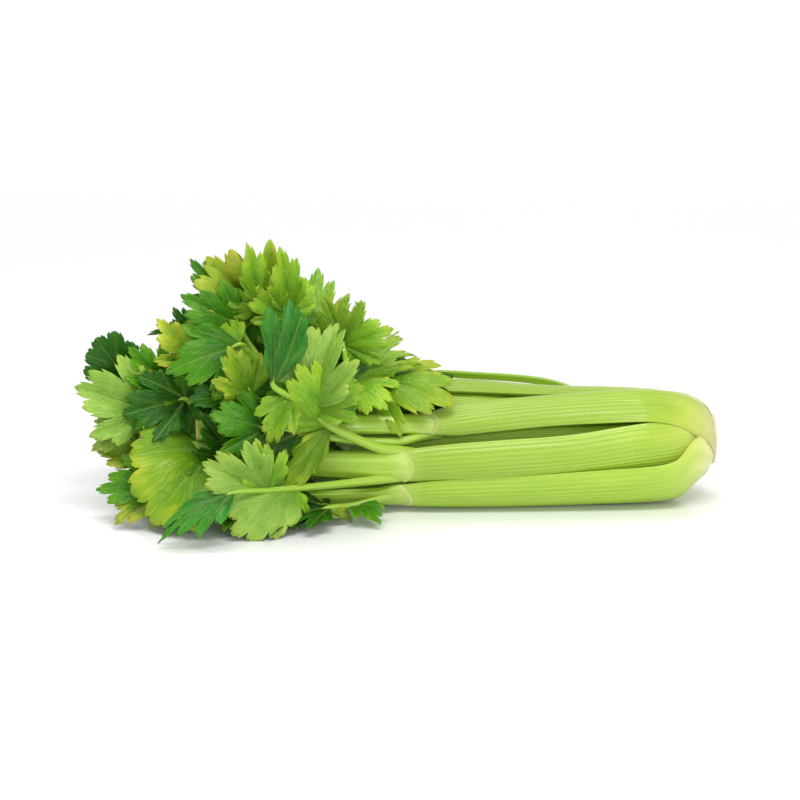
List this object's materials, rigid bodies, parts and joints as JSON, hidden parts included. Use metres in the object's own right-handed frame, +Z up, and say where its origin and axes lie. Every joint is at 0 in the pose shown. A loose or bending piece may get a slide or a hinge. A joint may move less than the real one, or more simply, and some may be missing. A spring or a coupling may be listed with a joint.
{
  "type": "head of celery",
  "caption": "Whole head of celery lying on its side: ribbed pale-green stalks round a cut butt, opening into a mass of lobed, toothed leaves.",
  "frame": {"origin": "on the table under the middle of the whole head, leaves included", "axes": "+X along the head towards the cut butt, -Y the side that shows in front, +Z up from the table"},
  "size_m": [0.4281, 0.2068, 0.1834],
  "materials": {
    "butt": "cut root flesh, dull, pale tan with a browned rim",
    "stalk": "moist waxy skin with fine lengthwise ribs, pale at the butt and mid green at the node",
    "leaf": "soft leaf with pale veins, from dark green to yellow-green"
  },
  "bodies": {
    "root": {"butt": "butt", "stalk_01": "stalk", "stalk_02": "stalk", "stalk_03": "stalk", "stalk_04": "stalk", "stalk_05": "stalk", "stalk_06": "stalk", "stalk_07": "stalk", "stalk_08": "stalk", "stalk_09": "stalk", "stalk_10": "stalk", "stalk_11": "stalk", "stalk_12": "stalk", "leaf_01": "leaf", "leaf_02": "leaf", "leaf_03": "leaf", "leaf_04": "leaf", "leaf_05": "leaf", "leaf_06": "leaf", "leaf_07": "leaf", "leaf_08": "leaf", "leaf_09": "leaf", "leaf_10": "leaf", "leaf_11": "leaf", "leaf_12": "leaf"}
  },
  "joints": []
}
